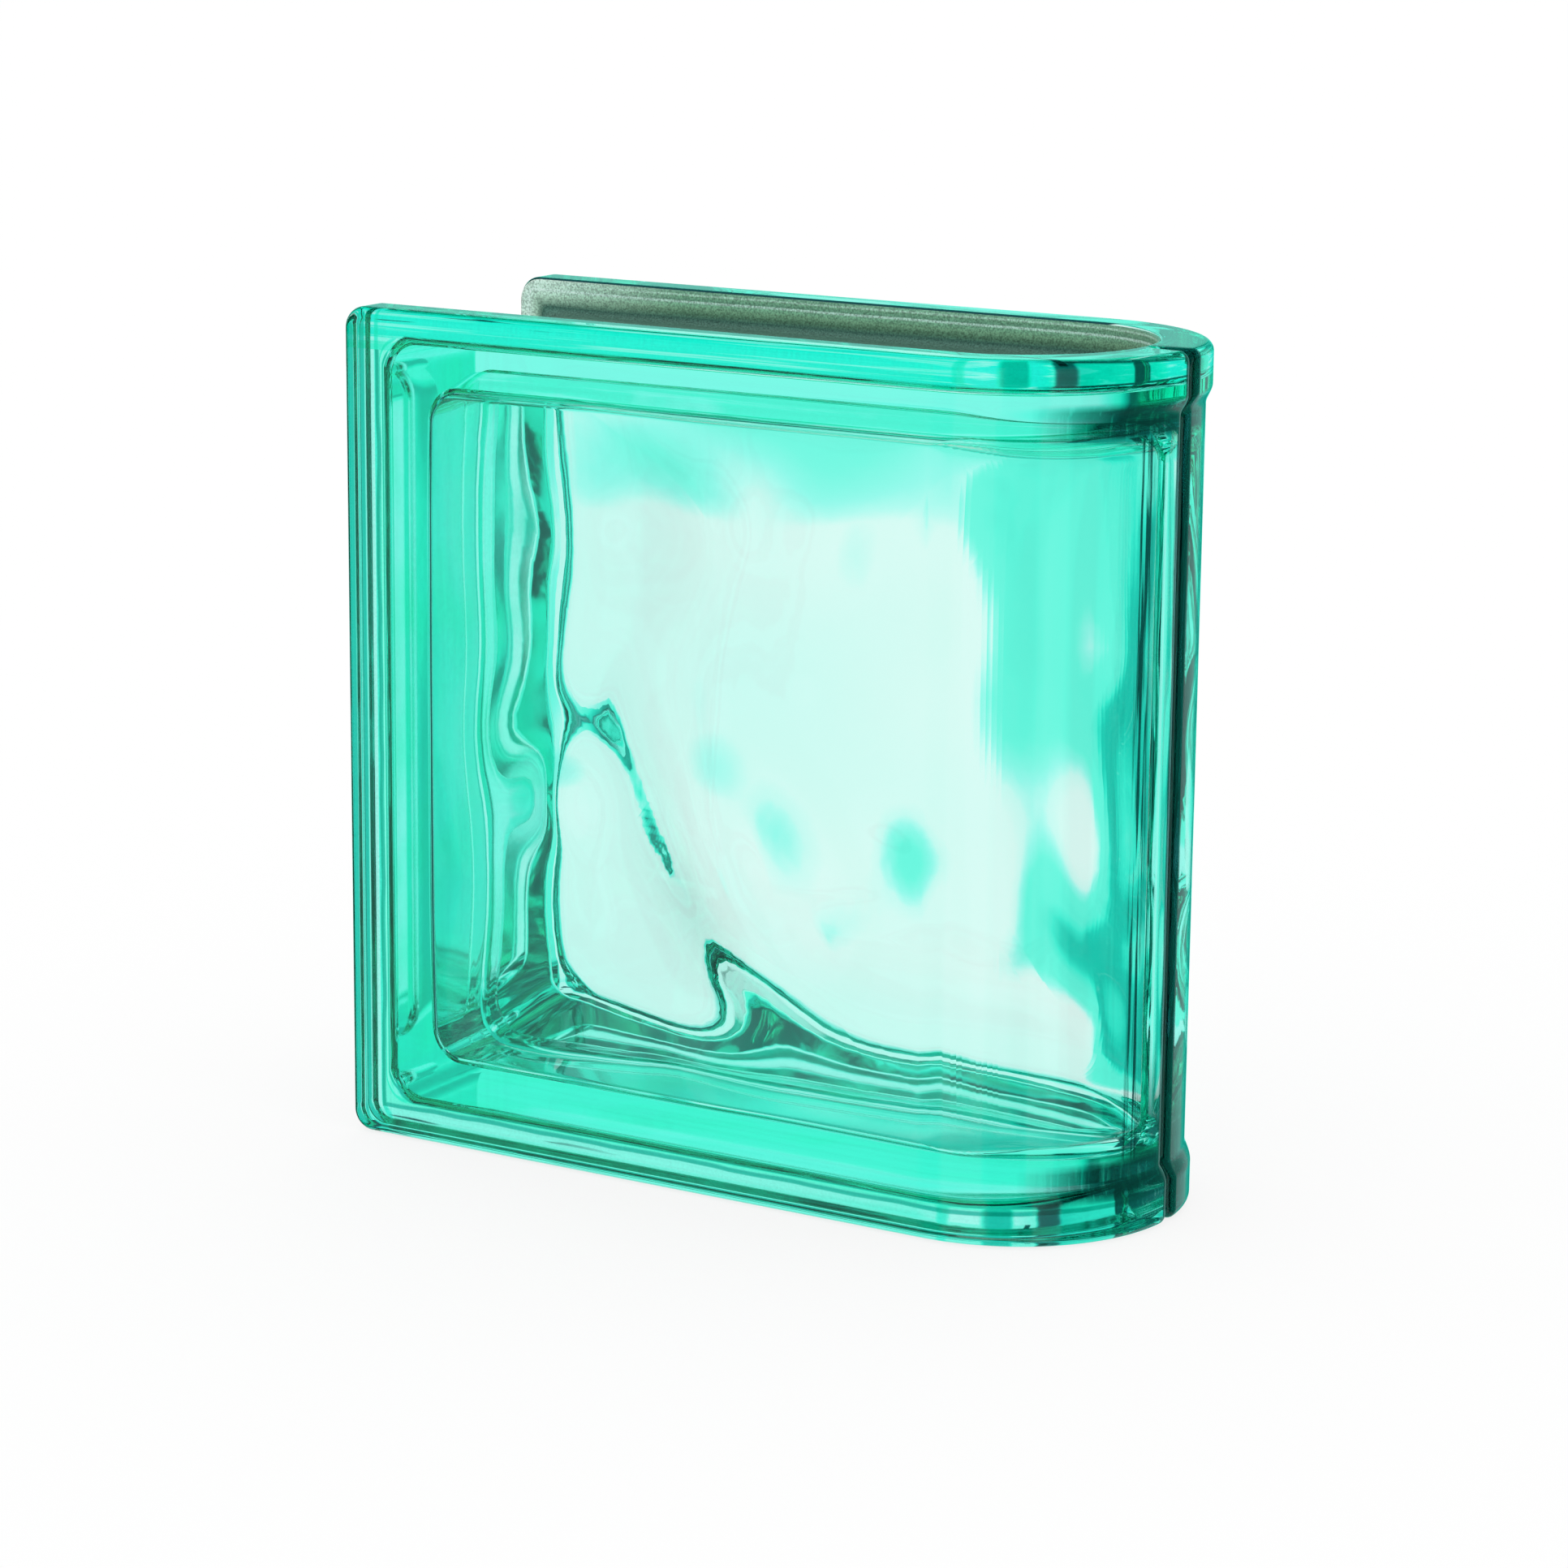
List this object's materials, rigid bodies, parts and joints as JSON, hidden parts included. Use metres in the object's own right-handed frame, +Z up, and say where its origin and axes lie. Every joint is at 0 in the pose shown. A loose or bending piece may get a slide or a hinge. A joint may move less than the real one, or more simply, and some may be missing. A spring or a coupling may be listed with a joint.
{
  "type": "glass block",
  "caption": "Hollow glass block with one half-round end, a mortar channel on the other three sides and a soft wave pressed inside both faces.",
  "frame": {"origin": "centre of the block's bounding box, on the surface it stands on", "axes": "+X from the square end to the rounded end, +Y from the front face to the back face, +Z up"},
  "size_m": [0.1899, 0.08, 0.19],
  "materials": {
    "glass": "clear turquoise pressed glass, polished",
    "coat": "grey bonding coat, satin with a slight metallic flake"
  },
  "bodies": {
    "root": {"front_dish": "glass", "back_dish": "glass", "edge_coat": "coat"}
  },
  "joints": []
}
